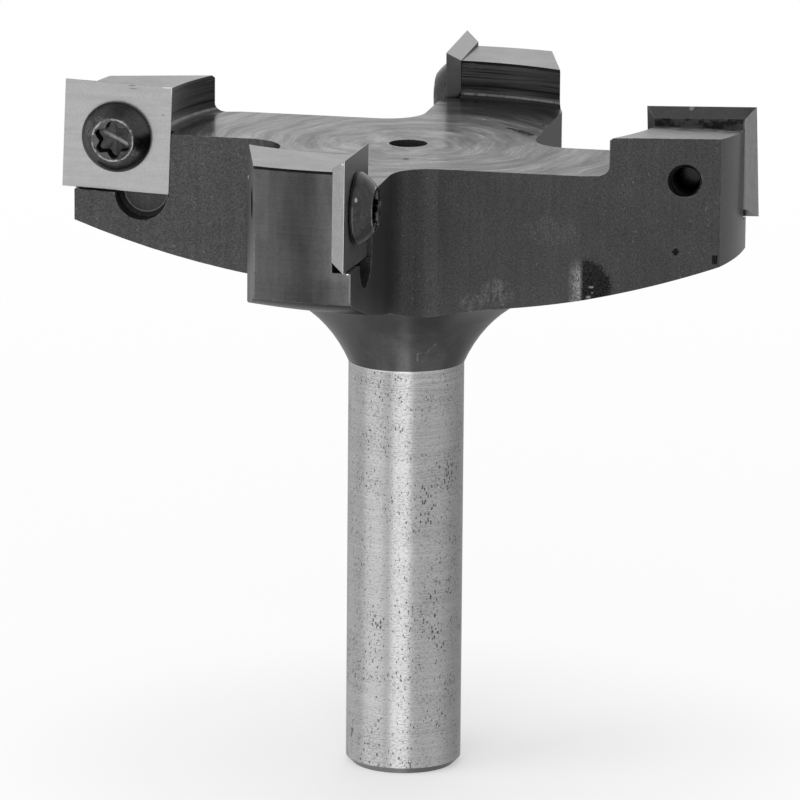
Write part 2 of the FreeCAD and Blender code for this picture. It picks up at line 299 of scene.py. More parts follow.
def trailing_marks(s, grey, fine, ragged):
    """Marks the first wing's trailing face: a black stain with a straight left border and a
    speckled fringe, flakes in it, a pale patch beside it, a scuff further left and small dark
    marks on the right. Gives the grey, and 1 where the face is stained."""
    face = s.step(s.y, -TRAILING + 1.6, -TRAILING + 1.4)
    rise = s.math("POWER", s.math("ABSOLUTE", s.times(s.minus(s.z, STAIN_Z), 0.215)), 1.4)
    away = s.span(s.times(s.minus(s.x, STAIN_X), 0.29), rise)
    fringe = s.about(away, ragged, 0.85)
    border = s.about(s.x, ragged, 1.9)
    inside = s.least(s.step(fringe, 1.0, 0.94),
                     s.step(border, STAIN_BORDER - 0.08, STAIN_BORDER + 0.10))
    stain = s.least(inside, face)
    beside = s.times(s.step(s.x, STAIN_X - 1.5, STAIN_X),
                     s.step(border, STAIN_BORDER + 0.15, STAIN_BORDER - 0.05))
    beside = s.times(s.times(beside, s.step(s.z, 60.9, 58.6)), face)
    beside = s.times(beside, s.step(ragged, 0.42, 0.60, 0.10, 1.8))
    scuff = s.times(s.spot((12.5, -TRAILING, 56.4), (1.8, 1.0, 1.6)), 1.2)
    for centre, size, strength in (((10.0, -TRAILING, 55.1), (1.6, 1.0, 1.1), 1.0),
                                   ((18.2, -TRAILING, 63.4), (3.2, 1.0, 1.6), 0.45)):
        scuff = s.most(scuff, s.times(s.spot(centre, size), strength))
    strokes = s.noise(1.0, 3.0, 0.7, stretch=(2.0, 1.0, 0.8))
    scuff = s.times(s.times(scuff, s.step(ragged, 0.42, 0.62)), s.step(strokes, 0.40, 0.58))
    grey = s.plus(grey, s.plus(s.times(beside, 0.12), s.times(scuff, 0.060)))
    grey = s.towards(stain, grey, s.step(fine, 0.35, 0.65, 0.003, 0.022))
    flakes = 0.0
    for centre, size in (((22.72, -TRAILING, 57.50), (0.34, 0.6, 0.16)),
                         ((22.41, -TRAILING, 56.40), (0.30, 0.6, 0.18)),
                         ((22.82, -TRAILING, 56.88), (0.14, 0.6, 0.10)),
                         ((23.43, -TRAILING, 56.20), (0.17, 0.6, 0.10))):
        flakes = s.most(s.spot(centre, size), flakes)
    flakes = s.times(flakes, s.step(ragged, 0.36, 0.50))
    grey = s.towards(flakes, grey, 0.15)
    # small dark marks near the outer end
    for x, z, half_x, half_z in ((31.38, 61.30, 0.16, 0.32), (31.38, 61.30, 0.30, 0.10),
                                 (35.45, 60.42, 0.24, 0.42)):
        mark = s.times(s.band(s.x, x, half_x, 0.10), s.band(s.z, z, half_z, 0.12))
        mark = s.times(s.times(mark, s.step(s.y, -8.0, -9.0)), s.step(ragged, 0.30, 0.46))
        grey = s.towards(mark, grey, 0.006)
        stain = s.most(stain, mark)
    return grey, stain


def milled():
    """Blackened milled steel: fine speckled grain, faint upright streaks, worn edges, marks."""
    s = Shader("blackened_milled", Metallic=0.5)
    nx, ny, nz = s.split(s.normal)
    side = s.math("SUBTRACT", 1.0, s.math("ABSOLUTE", nz), clamp=True)
    grain = s.noise(5.4, 3.0, 0.75)
    fine = s.noise(8.0, 2.0, 0.6)
    cloud = s.noise(0.22, 3.0, 0.55)
    upright = s.noise(1.0, 3.0, 0.6, stretch=(2.2, 2.2, 0.07))
    grey = s.times(0.0245, s.most(s.swing(grain, 3.9), 0.2))
    specks = s.step(s.noise(3.0, 1.0, 0.5), 0.70, 0.77)
    grey = s.plus(grey, s.times(specks, 0.04))
    streaks = s.math("MULTIPLY_ADD", upright, 0.70, 0.65)
    grey = s.times(s.varied(grey, (cloud, 0.3), (fine, 0.3)), s.towards(side, 1.0, streaks))
    # the sides that lead as the tool turns came out a little lighter
    round_way = s.minus(s.times(ny, s.x), s.times(nx, s.y))
    lead = s.step(s.math("DIVIDE", round_way, s.most(s.radius, 0.5)), 0.3, 0.6)
    grey = s.times(grey, s.towards(lead, 1.0, 1.4))
    # painted shade: faces that turn downward are made darker
    grey = s.times(grey, s.step(nz, -0.8, -0.5, 0.75, 1.0))
    # painted light: the tapered flank beside the front wing's outer side is made paler, most of
    # all low down
    flank = s.times(s.step(s.y, -25.0, -31.0), s.step(s.x, -7.6, -8.2))
    grey = s.times(grey, s.towards(flank, 1.0, s.step(s.z, 69.0, 65.0, 1.5, 2.3)))

    ragged = s.noise(6.5, 3.0, 0.8)
    grey, stain = trailing_marks(s, grey, fine, ragged)

    # painted highlight: a thin light ring round the floor of each relief hole under an insert, on
    # the end mill's rounded corner
    across, depth = s.wing_place()
    off = s.span(s.minus(across, RELIEF_X), s.minus(s.z, RELIEF_Z))
    ring = s.times(s.band(off, RELIEF_RING, 0.03, 0.07), s.step(depth, -6.0, -5.0))
    ring = s.times(ring, s.step(ragged, 0.34, 0.56, 0.15, 1.0))
    grey = s.towards(s.times(ring, 0.8), grey, 0.20)

    # worn edges, the front wing's lower rim most of all
    edge, rounded = s.edges(0.13)
    wear = s.step(s.noise(1.4, 3.0, 0.7), 0.44, 0.64, 0.06, 0.9)
    rim = s.times(s.band(s.z, 59.7, 0.3, 0.2), s.step(s.x, -3.6, -1.2))
    wear = s.most(wear, s.times(rim, s.front_rim()))
    grey = s.towards(s.times(edge, wear), grey, 0.26)
    # painted shade: a dark ring round the mouths of the tapped holes, as on a small chamfer in
    # shade, which also joins the stain mask
    off = s.span(s.minus(across, INSERT_X - 0.10), s.minus(s.z, INSERT_Z + 0.07))
    mouth = s.times(s.step(off, HOLE_RADIUS + 0.10, HOLE_RADIUS + 0.02),
                    s.step(depth, -5.0, -6.0))
    grey = s.towards(mouth, grey, 0.005)
    stain = s.most(stain, mouth)
    return s.paint(grey, s.about(0.45, grain, 0.2), s.plus(s.times(fine, 0.5), grain), 0.006,
                   COOL, rounded, s.towards(stain, 0.5, 1.0))


def inner_walls(s, level):
    """The grey of the posts' inner walls: level streaks, a glint near the top, a dark groove and a
    painted highlight along the fillet."""
    streaks = s.most(s.swing(level, 4.8), 0.12)
    glint = s.step(s.noise(1.0, 4.0, 0.75, stretch=(0.12, 0.12, 4.2)), 0.62, 0.72)
    high = s.step(s.z, POST_TOP - 1.3, POST_TOP - 0.6, 0.06, 0.22)
    grey = s.plus(s.times(0.048, streaks), s.times(glint, high))
    groove = s.times(s.band(s.z, FLOOR + 1.35, 0.08, 0.10), 0.8)
    grey = s.towards(groove, grey, 0.006)
    # painted highlight: a light broken line along the fillet at the wall's foot
    fillet = s.band(s.z, FLOOR + 0.42, 0.06, 0.11)
    broken = s.step(s.noise(1.1, 4.0, 0.75, stretch=(1.0, 1.0, 0.3)), 0.26, 0.56, 0.15, 1.0)
    return s.towards(s.times(fillet, broken), grey, 0.17)


def turned_marks(s, grey, front, grain):
    """Marks the front wing's end with a painted highlight along its left corner and a nick and a
    scratch beside its insert, and the neck with a zigzag scratch."""
    # painted highlight: a light line along the front wing's left corner
    corner = s.times(s.band(s.x, -9.02, 0.07, 0.10), s.step(s.z, 68.0, 64.0, 0.2, 1.0))
    corner = s.times(s.times(corner, front), s.step(grain, 0.30, 0.55, 0.4, 1.0))
    grey = s.towards(s.times(corner, 0.8), grey, 0.15)
    grey = s.towards(s.spot((1.25, -37.0, 62.99), (0.16, 0.5, 0.16)), grey, 0.5)
    grey = s.towards(s.line((1.55, -37.0, 60.0), (1.55, -37.0, 63.2), 0.30), grey, 0.11)
    bend = ((2.59, -7.0, 46.97), (2.69, -7.0, 47.80), (3.06, -7.0, 47.97), (3.48, -7.0, 47.80),
            (3.88, -7.0, 48.25), (4.75, -7.0, 49.09))
    near = s.times(s.step(s.y, -5.0, -5.5), s.step(s.noise(2.6, 3.0, 0.7), 0.42, 0.66))
    for start, end in zip(bend, bend[1:]):
        grey = s.towards(s.times(s.line(start, end, 0.17, (1.0, 0.0, 1.0)), near), grey, 0.17)
    return grey


def turned():
    """Blackened turned steel: fine lines round the axis, streaked inner walls, worn edges."""
    s = Shader("blackened_turned", Metallic=1.0, Anisotropic=0.9, Anisotropic_Rotation=0.25)
    s.round_the_axis()
    nx, ny, _ = s.split(s.normal)
    outward = s.math("DIVIDE", s.plus(s.times(nx, s.x), s.times(ny, s.y)), s.most(s.radius, 0.5))
    # the walls above the floor, which face the axis
    wall = s.least(s.step(outward, 0.3, 0.0), s.step(s.z, FLOOR - 0.1, FLOOR + 0.1))
    level = s.noise(1.0, 4.0, 0.75, stretch=(0.06, 0.06, 4.6))
    lines = s.noise(1.0, 3.0, 0.7, stretch=(0.04, 0.04, 6.0))
    grain = s.noise(4.5, 2.0, 0.6)
    cloud = s.noise(0.25, 2.0, 0.5)
    upright = s.noise(1.0, 3.0, 0.55, stretch=(1.0, 1.0, 0.14))
    grey = s.varied(0.060, (lines, 0.18), (grain, 0.28), (cloud, 0.25), (upright, 0.35))
    # the right wing's end is made lighter; painted light makes the neck lighter on its right and
    # darker on its left and near its top, and the front wing's end lighter towards both sides
    grey = s.times(grey, s.step(s.x, 34.0, 36.0, 1.0, 1.22))
    neck = s.step(s.z, NECK_TOP + 0.5, NECK_TOP - 0.5)
    neck_painted_light = s.times(s.step(s.x, -6.0, 5.0, 0.68, 1.30), s.step(s.z, 50.0, 52.5, 1.0, 0.80))
    grey = s.times(grey, s.towards(neck, 1.0, neck_painted_light))
    right = s.step(s.x, -3.8, -1.4, 1.0, 1.38)
    right = s.towards(s.step(s.z, 61.5, 62.8), 1.0, right)
    front_end_painted_light = s.times(s.step(s.x, -3.4, -8.9, 0.94, 1.22), right)
    front = s.front_rim()
    grey = s.times(grey, s.towards(front, 1.0, front_end_painted_light))
    grey = s.towards(wall, grey, inner_walls(s, level))
    # worn edges, fewer on the inner walls, and painted shade: a dark line under the posts' tops,
    # on the small chamfer of their edge
    edge, rounded = s.edges(0.13)
    wear = s.step(s.noise(1.4, 3.0, 0.7), 0.40, 0.62, 0.10, 0.9)
    wear = s.times(edge, s.most(wear, s.times(s.spot((1.6, -37.0, 61.5), (0.5, 0.7, 2.4)), 0.5)))
    grey = s.towards(s.times(wear, s.math("MULTIPLY_ADD", wall, -0.8, 1.0)), grey, 0.26)
    top = s.times(s.band(s.z, POST_TOP - 0.13, 0.07, 0.09), 0.9)
    grey = turned_marks(s, s.towards(top, grey, 0.010), front, grain)
    # the shank's grinding ends a little above the foot of the neck
    ground = s.step(s.z, SHANK_TOP + 0.20, SHANK_TOP + 0.12)
    grey = s.towards(ground, grey, 0.45)
    rough = s.plus(s.about(0.29, lines, 0.12), s.times(wall, 0.10))
    height = s.plus(s.times(lines, 0.4), s.times(wall, s.times(level, 1.2)))
    return s.paint(grey, rough, height, 0.010, COOL, rounded)


def turned_bowl():
    """The turned underside of the wings: dark, and mirror-like only at a glancing angle."""
    s = Shader("blackened_bowl", Metallic=1.0, Specular_Tint=(0.06, 0.06, 0.06, 1.0))
    lines = s.noise(1.0, 3.0, 0.7, at=s.rings(3.6, 0.05))
    grain = s.noise(4.5, 2.0, 0.6)
    cloud = s.noise(0.25, 2.0, 0.5)
    grey = s.varied(0.075, (lines, 0.25), (grain, 0.28), (cloud, 0.25))
    height = s.plus(lines, s.times(grain, 0.5))
    return s.paint(grey, s.about(0.15, lines, 0.10), height, 0.004, COOL)


def foot_marks(s, grey, torn):
    """Marks the shank near its foot: a small nick, a notch at the left, and a scratch that ends
    in a dark pit."""
    grey = s.towards(s.spot((1.97, -6.04, 1.50), (0.22, 0.5, 0.24)), grey, 0.10)
    grey = s.towards(s.spot((1.99, -6.04, 1.56), (0.12, 0.5, 0.12)), grey, 0.50)
    grey = s.towards(s.line((2.0, -6.02, 1.3), (2.1, -6.0, 0.8), 0.16), grey, 0.13)
    grey = s.towards(s.line((-5.78, -2.64, 1.80), (-5.66, -2.86, 0.90), 0.20), grey, 0.05)
    grey = s.towards(s.times(s.line((-6.10, -1.75, 4.90), (-4.97, -3.95, 4.12), 0.26), torn),
                     grey, 0.09)
    grey = s.towards(s.line((-4.84, -4.12, 4.30), (-5.12, -3.74, 3.45), 0.30), grey, 0.12)
    return grey


def ground_shank():
    """Bright ground steel: fine lines round the shank, with small dark pits."""
    s = Shader("ground_shank", Metallic=1.0, Anisotropic=0.9, Anisotropic_Rotation=0.25)
    s.round_the_axis()
    # the shank's surface rolled out flat: round it, and up it
    round_it = s.times(s.math("ARCTAN2", s.y, s.x), SHANK_RADIUS)
    unrolled = s.join(round_it, 0.0, s.z)
    lines = s.noise(1.0, 3.0, 0.65, stretch=(0.10, 1.0, 7.0), at=unrolled)
    broad = s.noise(1.0, 2.0, 0.5, stretch=(0.05, 1.0, 0.9), at=unrolled)
    grain = s.noise(4.2, 3.0, 0.75, at=unrolled)
    dash = s.noise(1.0, 3.0, 0.75, stretch=(2.4, 1.0, 6.5), at=unrolled)
    where = s.noise(0.22, 2.0, 0.6, at=unrolled)
    dashes = s.step(s.about(dash, where, 0.25), 0.50, 0.62)
    wobble = s.noise(3.4, 2.0, 0.6, at=unrolled)
    pits = s.cells(2.3, stretch=(1.45, 1.0, 0.66), at=unrolled)
    size = s.step(where, 0.30, 0.70, 0.10, 0.28)
    choose = s.step(s.noise(1.4, 2.0, 0.5, at=unrolled), 0.36, 0.48)
    # upright rows of closer pits
    for start, end, width in (((5.50, -3.17, 34.2), (5.52, -3.14, 30.4), 1.6),
                              ((3.32, -5.41, 32.0), (3.40, -5.36, 28.4), 1.8),
                              ((-5.64, -2.92, 12.4), (-5.95, -2.22, 8.8), 1.6),
                              ((4.70, -4.27, 17.4), (4.66, -4.31, 13.2), 1.6),
                              ((-1.90, -6.06, 18.2), (-1.84, -6.08, 13.0), 1.8)):
        row = s.line(start, end, width)
        size = s.plus(size, s.times(row, 0.10))
        choose = s.most(choose, row)
    pits = s.minus(s.about(pits, wobble, 0.75), size)
    pit = s.times(s.step(pits, 0.03, -0.05), choose)
    # the lines are stronger near the neck
    collar = s.step(s.z, SHANK_TOP - 4.5, SHANK_TOP - 0.5, 1.0, 2.0)
    grey = s.times(0.37, s.math("MULTIPLY_ADD", s.times(s.minus(lines, 0.5), collar), 0.70, 1.0))
    grey = s.varied(grey, (broad, 0.08), (grain, 0.30))
    grey = s.times(grey, s.towards(dashes, 1.05, 0.66))
    grey = s.towards(s.times(pit, 0.95), grey, 0.085)
    chamfer = s.step(s.z, 0.80, 0.70)
    grey = foot_marks(s, s.towards(chamfer, grey, 0.16), s.step(wobble, 0.40, 0.54))
    height = s.minus(s.plus(s.times(lines, 0.5), s.times(grain, 0.35)),
                     s.plus(pit, s.times(dashes, 0.5)))
    return s.paint(grey, s.about(0.36, lines, 0.10), height, 0.008)


def faced_floor():
    """The faced recess floor: turning marks round the axis with smears like grain in wood."""
    s = Shader("faced_floor", Metallic=1.0, Specular_Tint=EDGE_TINT)
    # noise laid out by radius and by direction runs round the axis, and drifts a little
    way_x = s.math("DIVIDE", s.x, s.most(s.radius, 0.5))
    way_y = s.math("DIVIDE", s.y, s.most(s.radius, 0.5))
    drifting = s.about(s.radius, s.noise(0.10, 2.0, 0.5), 5.0)
    polar = s.join(drifting, s.times(way_x, 7.0), s.times(way_y, 7.0))
    smears = s.noise(1.0, 5.0, 0.68, stretch=(0.70, 0.20, 0.20), at=polar, distort=0.25)
    lines = s.noise(1.0, 3.0, 0.7, stretch=(4.6, 0.4, 0.4), at=polar)
    grain = s.noise(3.6, 3.0, 0.7)
    cloud = s.noise(0.12, 3.0, 0.5)
    sweep = s.noise(1.0, 3.0, 0.55, stretch=(0.30, 0.16, 0.16), at=polar)
    grey = s.times(s.times(0.48, s.swing(smears, 2.1)), s.swing(sweep, 0.9))
    grey = s.varied(grey, (lines, 0.26), (grain, 0.30), (cloud, 0.22))
    # painted shade: the floor is made darker towards +x, standing in for the dark reflections
    # there
    grey = s.times(grey, s.step(s.x, -4.0, 24.0, 1.0, 0.80))
    # small dents and bright spots here and there, a gouge and two larger dents
    dents = s.step(s.cells(0.42), 0.06, 0.035)
    bright = s.step(s.cells(0.5, stretch=(1.0, 0.9, 1.0)), 0.035, 0.02)
    torn = s.step(s.noise(2.4, 3.0, 0.7), 0.34, 0.46)
    gouge = s.most(s.line((9.0, 11.0, FLOOR), (10.3, 9.9, FLOOR), 0.55),
                   s.line((10.3, 9.9, FLOOR), (12.0, 7.9, FLOOR), 1.0))
    gouge = s.times(gouge, torn)
    grey = s.towards(gouge, grey, 0.02)
    scar = s.most(dents, s.spot((1.51, -8.48, FLOOR), (0.35, 0.5, 0.5)))
    scar = s.most(scar, s.spot((12.34, 13.60, FLOOR), (0.24, 0.34, 0.5)))
    grey = s.towards(scar, grey, 0.07)
    grey = s.towards(bright, grey, 0.7)
    height = s.minus(s.plus(s.times(lines, 0.8), s.times(grain, 0.5)), s.most(scar, gouge))
    return s.paint(grey, s.about(0.24, smears, 0.2), height, 0.008)


def post_tops():
    """Satin turned tops of the posts."""
    s = Shader("post_tops", Metallic=1.0, Specular_Tint=EDGE_TINT)
    lines = s.noise(1.0, 3.0, 0.6, at=s.rings(4.0, 0.15))
    grain = s.noise(3.2, 3.0, 0.6)
    cloud = s.noise(0.25, 2.0, 0.5)
    grey = s.varied(0.60, (lines, 0.14), (grain, 0.20), (cloud, 0.20))
    # the first post was ground towards its seat, and is dark and rough beside the insert
    ground = s.least(s.step(s.x, 20.0, 21.0), s.band(s.y, SEAT_Y - 1.0, 0.8, 2.6))
    burn = s.times(ground, s.step(s.noise(0.8, 4.0, 0.7, stretch=(0.6, 1.4, 1.0)), 0.40, 0.62))
    grey = s.towards(s.times(burn, 0.85), grey, 0.03)
    height = s.plus(s.times(lines, 0.6), s.times(grain, 0.4))
    return s.paint(grey, s.about(0.38, grain, 0.12), height, 0.006)


def sooted_and_shaded(s, grey, across, foot_soot_and_shade):
    """Lays soot and painted shade along the foot of a seat face, and makes its end beyond the post
    lighter.
    """
    # soot with painted shade where the seat face meets the post's top
    soot_and_shade = s.step(s.noise(0.9, 5.0, 0.8, stretch=(0.5, 0.5, 1.0)), 0.44, 0.54)
    soot_and_shade = s.times(soot_and_shade, s.step(s.z, POST_TOP + 1.0, POST_TOP + 0.4, 0.0, foot_soot_and_shade))
    over = s.step(across, RIM_RADIUS - 0.3, RIM_RADIUS + 0.1)
    grey = s.towards(s.times(soot_and_shade, s.minus(1.0, over)), grey, 0.012)
    return s.towards(s.times(over, s.step(s.z, POST_TOP + 0.4, POST_TOP)), grey, 0.16)


def insert_marks(s, grey, grain, base):
    """Marks single inserts: a nick, a painted highlight at a chipped corner, a painted dark
    reflection on the first one's upper flank, its duller outer flank, and thin dark and light
    marks on the third."""
    nick = s.spot((31.0, 1.0, 74.8), (0.28, 0.5, 0.45))
    grey = s.towards(nick, grey, 0.85)
    # painted highlight: a bright spot at the front insert's chipped corner
    chip_highlight = s.times(s.spot((0.55, -38.2, 74.78), (0.50, 0.4, 0.26)), s.step(grain, 0.40, 0.54))
    grey = s.towards(chip_highlight, grey, 0.80)
    # painted dark reflection: the first insert's upward-facing flank is made darker
    up = s.split(s.normal)[2]
    top = s.times(s.step(up, 0.4, 0.6), s.step(s.x, 20.0, 21.0))
    grey = s.times(grey, s.towards(top, 1.0, 0.38))
    grey = s.times(grey, s.step(s.x, 36.5, 37.5, 1.0, 0.85))
    for centre in ((-30.6, -1.1, 74.75), (-30.45, -1.1, 74.42)):
        mark = s.times(s.spot(centre, (0.42, 0.5, 0.07)), s.step(grain, 0.36, 0.50))
        grey = s.towards(s.times(mark, 0.8), grey, base * 0.4)
    for centre, size in (((-26.6, -1.1, 74.68), (0.70, 0.3, 0.07)),
                         ((-26.14, -1.1, 74.2), (0.06, 0.3, 0.60))):
        grey = s.towards(s.times(s.spot(centre, size), 0.6), grey, 0.55)
    return grey


def carbide(name, base, rough_level, streak, honed_highlight=0.7, foot_soot_and_shade=0.0):
    """Ground carbide with a faint mottle, small dark marks and a painted highlight on its honed
    edges. honed is how strong that painted highlight is, smeared how much soot and painted shade
    lie at the foot of the face."""
    s = Shader(name, Metallic=1.0)
    grain = s.noise(4.5, 3.0, 0.7)
    mottle = s.noise(0.9, 3.0, 0.6)
    brushed = s.noise(1.0, 3.0, 0.65, stretch=streak)
    grey = s.varied(base, (grain, 0.22), (mottle, 0.12), (brushed, 0.16))
    marks = s.step(s.cells(0.33, stretch=(1.0, 1.0, 2.4)), 0.07, 0.04)
    few = s.step(s.noise(0.5, 1.0), 0.56, 0.60)
    grey = s.towards(s.times(marks, few), grey, base * 0.3)
    edge, rounded = s.edges(0.09)
    # painted highlight: the edges are made lighter towards the rake face and on the outer side
    across, depth = s.wing_place()
    edge_highlight = s.times(s.most(s.step(depth, 0.0, 0.5), s.step(across, 37.5, 38.0)), honed_highlight)
    grey = s.towards(s.times(edge, edge_highlight), grey, 0.72)
    if foot_soot_and_shade:
        grey = sooted_and_shaded(s, grey, across, foot_soot_and_shade)
    else:
        grey = insert_marks(s, grey, grain, base)
    height = s.plus(grain, s.times(mottle, 0.6))
    return s.paint(grey, s.about(rough_level, mottle, 0.10), height, 0.004, normal=rounded)


def screw_steel():
    """Glossy blackened screw with scuffed spots and a rubbed lip round its socket."""
    s = Shader("screw_steel", Metallic=1.0)
    grain = s.noise(5.0, 3.0, 0.6)
    mottle = s.noise(1.3, 3.0, 0.6)
    grey = s.varied(0.050, (grain, 0.35), (mottle, 0.5))
    # how far a point of a head lies from its screw's centre line, the same for each wing
    across, flat = s.wing_place()
    along = s.minus(across, INSERT_X)
    off = s.span(along, s.minus(s.z, INSERT_Z))
    jitter = s.times(s.minus(s.noise(2.2, 4.0, 0.75), 0.5), 0.45)
    lip = s.times(s.band(s.plus(off, jitter), 2.32, 0.04, 0.12), s.step(flat, 2.9, 3.1))
    rubbed = s.step(s.noise(0.8, 4.0, 0.75), 0.42, 0.60, 0.08, 1.0)
    scuff = s.step(s.noise(2.4, 4.0, 0.75), 0.60, 0.70)
    for centre, size in (((-35.1, -3.0, 70.1), (0.6, 2.0, 0.9)),
                         ((-29.8, -3.0, 68.8), (0.45, 2.0, 0.35)),
                         ((-29.9, -3.0, 67.8), (0.6, 2.0, 0.6)),
                         ((-33.9, -3.0, 71.2), (0.7, 2.0, 0.3))):
        patch = s.times(s.spot(centre, size), s.step(s.noise(5.0, 3.0, 0.8), 0.42, 0.56))
        scuff = s.most(scuff, patch)
    grey = s.towards(s.times(scuff, 0.5), grey, 0.16)
    # painted highlight: a small bright dot on the front screw's head
    grey = s.towards(s.spot((1.83, -35.7, 70.6), (0.15, 0.20, 0.27)), grey, 0.32)
    edge, rounded = s.edges(0.08)
    grey = s.towards(s.times(edge, 0.22), grey, 0.2)
    grey = s.towards(s.times(lip, rubbed), grey, 0.30)
    # painted shade inside the sockets, darkest on their walls, and a painted glint along a crease
    # across the bottom
    inside = s.least(s.step(off, 2.12, 2.04), s.step(flat, RAKE_Y + 2.0, RAKE_Y + 1.8))
    grey = s.times(grey, s.towards(inside, 1.0, 0.6))
    # painted shade on the socket walls
    walls = s.times(inside, s.step(flat, RAKE_Y + 0.78, RAKE_Y + 0.9))
    grey = s.towards(s.times(walls, 0.8), grey, 0.010)
    slant = s.minus(s.minus(s.z, INSERT_Z), s.times(along, 0.48))
    taper = s.step(along, 1.5, -1.4, 0.03, 0.17)
    crease_glint = s.step(s.math("ABSOLUTE", s.plus(slant, s.times(jitter, 0.8))), 0.30, 0.06)
    crease_glint = s.times(s.times(crease_glint, taper), s.step(flat, 2.05, 1.9))
    grey = s.plus(grey, s.times(crease_glint, s.step(off, 1.75, 1.3)))
    # painted shade: the threaded tip is made dark, as it lies deep in its tapped hole
    grey = s.towards(s.step(flat, -2.5, -3.5), grey, 0.012)
    height = s.plus(s.times(grain, 0.6), mottle)
    return s.paint(grey, s.about(0.26, mottle, 0.2), height, 0.012, normal=rounded)


def hole_thread():
    """The dark cut thread inside a tapped hole, with painted shade deeper in."""
    s = Shader("hole_thread", Metallic=1.0)
    grain = s.noise(4.0, 3.0, 0.6)
    _, depth = s.wing_place()
    # painted shade: the thread is made darker deeper in the hole
    grey = s.times(s.varied(0.045, (grain, 0.4)), s.step(depth, -9.9, -9.3, 0.1, 1.0))
    return s.paint(grey, s.about(0.34, grain, 0.15), grain, 0.008)


def give(obj, *materials):
    """Sets an object's materials, in this order."""
    obj.data.materials.clear()
    for material in materials:
        obj.data.materials.append(material)


MILLED, TURNED, SHANK, FACED, TOPS, BOWL = range(6)


def body_material(face):
    """Which of the body's materials a face has, by what was done to it."""
    height = face.center.z / MM
    reach = math.hypot(face.center.x, face.center.y) / MM
    if height < SHANK_TOP - 0.01:
        return SHANK
    if face.normal.z < -0.8 and reach > BOWL_INNER and height < BOWL_TOP:
        return BOWL
    if face.normal.z > 0.99 and abs(height - FLOOR) < 0.05 and reach < RECESS_RADIUS:
        return FACED
    if face.normal.z > 0.9 and height > FLOOR + 2.0:
        return TOPS
    neck = height < NECK_TOP
    outer_side = abs(face.normal.z) < 0.3 and reach > RIM_RADIUS - 0.3
    inner_wall = height > FLOOR and RECESS_RADIUS - 1.5 < reach < RECESS_RADIUS + 0.1
    post_edge = height > POST_TOP - 0.6 and (reach > RIM_RADIUS - 0.6
                                             or reach < RECESS_RADIUS + 0.6)
    return TURNED if neck or outer_side or inner_wall or post_edge else MILLED


body = nodes["cutter_body"]
give(body, milled(), turned(), ground_shank(), faced_floor(), post_tops(), turned_bowl())
for face in body.data.polygons:
    face.material_index = body_material(face)

# the inserts: fine rake faces, ground flanks, duller inner flanks and seat faces
RAKE, FLANK, INNER, SEAT = range(4)
rake_material = carbide("carbide_rake", 0.265, 0.40, (0.15, 0.15, 2.0))
flank_material = carbide("carbide_flank", 0.29, 0.27, (3.0, 3.0, 0.4))
inner_material = carbide("carbide_inner", 0.135, 0.36, (1.0, 1.0, 1.0), honed_highlight=0.35)
seat_material = carbide("carbide_seat", 0.065, 0.45, (1.0, 1.0, 1.0), honed_highlight=0.0, foot_soot_and_shade=0.9)
for wing in range(1, WINGS + 1):
    insert = nodes["carbide_insert_%d" % wing]
    give(insert, rake_material, flank_material, inner_material, seat_material)
    rake_way = turn(wing).to_3x3() @ Vector((0.0, 1.0, 0.0))
    outward = turn(wing).to_3x3() @ Vector((1.0, 0.0, 0.0))
    for face in insert.data.polygons:
        facing = face.normal.dot(rake_way)
        if facing > 0.95:
            face.material_index = RAKE
        elif facing < -0.95:
            face.material_index = SEAT
        elif face.normal.dot(outward) < -0.5:
            face.material_index = INNER
        else:
            face.material_index = FLANK


# ---------------------------------------------------------------- detailed pieces

def tube(rings, around, closed=True):
    """A mesh through rings, each a function of the angle that gives radius and height, in mm.
    It stands along +Z and is built as quads, with a point at each end if it is closed."""
    mesh = bmesh.new()
    rows = []
    for ring in rings:
        row = []
        for number in range(around):
            angle = math.tau * number / around
            radius, height = ring(angle)
            place = (radius * MM * math.cos(angle), radius * MM * math.sin(angle), height * MM)
            row.append(mesh.verts.new(place))
        rows.append(row)
    for low, high in zip(rows, rows[1:]):
        for number in range(around):
            following = (number + 1) % around
            mesh.faces.new((low[number], low[following], high[following], high[number]))
    for row, order in ((rows[0], -1), (rows[-1], 1)) if closed else ():
        centre = mesh.verts.new(sum((vertex.co for vertex in row), Vector()) / around)
        for number in range(around):
            corners = (row[number], row[(number + 1) % around])[::order]
            mesh.faces.new((*corners, centre))
    bmesh.ops.recalc_face_normals(mesh, faces=mesh.faces)
    return mesh


def plain(radius, height):
    """A round ring."""
    return lambda angle: (radius, height)


def finished(mesh, name, place):
    """A smooth piece of the scene from a mesh that is put in this place."""
    data = bpy.data.meshes.new(name)
    mesh.to_mesh(data)
    mesh.free()
    data.shade_smooth()
    data.set_sharp_from_angle(angle=math.radians(38))
    piece = bpy.data.objects.new(name, data)
    bpy.context.scene.collection.objects.link(piece)
    data.transform(place)
    return piece


# the thread's pitch
PITCH = 0.7


def thread(height, core, crest):
    """A ring of a helical thread between its core and its crest."""
    def ring(angle):
        along = (height / PITCH - angle / math.tau) % 1.0
        rise = max(0.0, min(1.0, 1.35 - 3.2 * abs(along - 0.5)))
        return core + (crest - core) * rise, height
    return ring


def star(outer, inner, height, spin):
    """A ring that follows the six-lobe socket's outline."""
    def ring(angle):
        lobe = (0.5 + 0.5 * math.cos(6 * (angle - spin))) ** 0.8
        return inner + (outer - inner) * lobe, height
    return ring


def between(first, second, share):
    """A ring this share of the way from the first to the second."""
    def ring(angle):
        r0, h0 = first(angle)
        r1, h1 = second(angle)
        return r0 + (r1 - r0) * share, h0 + (h1 - h0) * share
    return ring


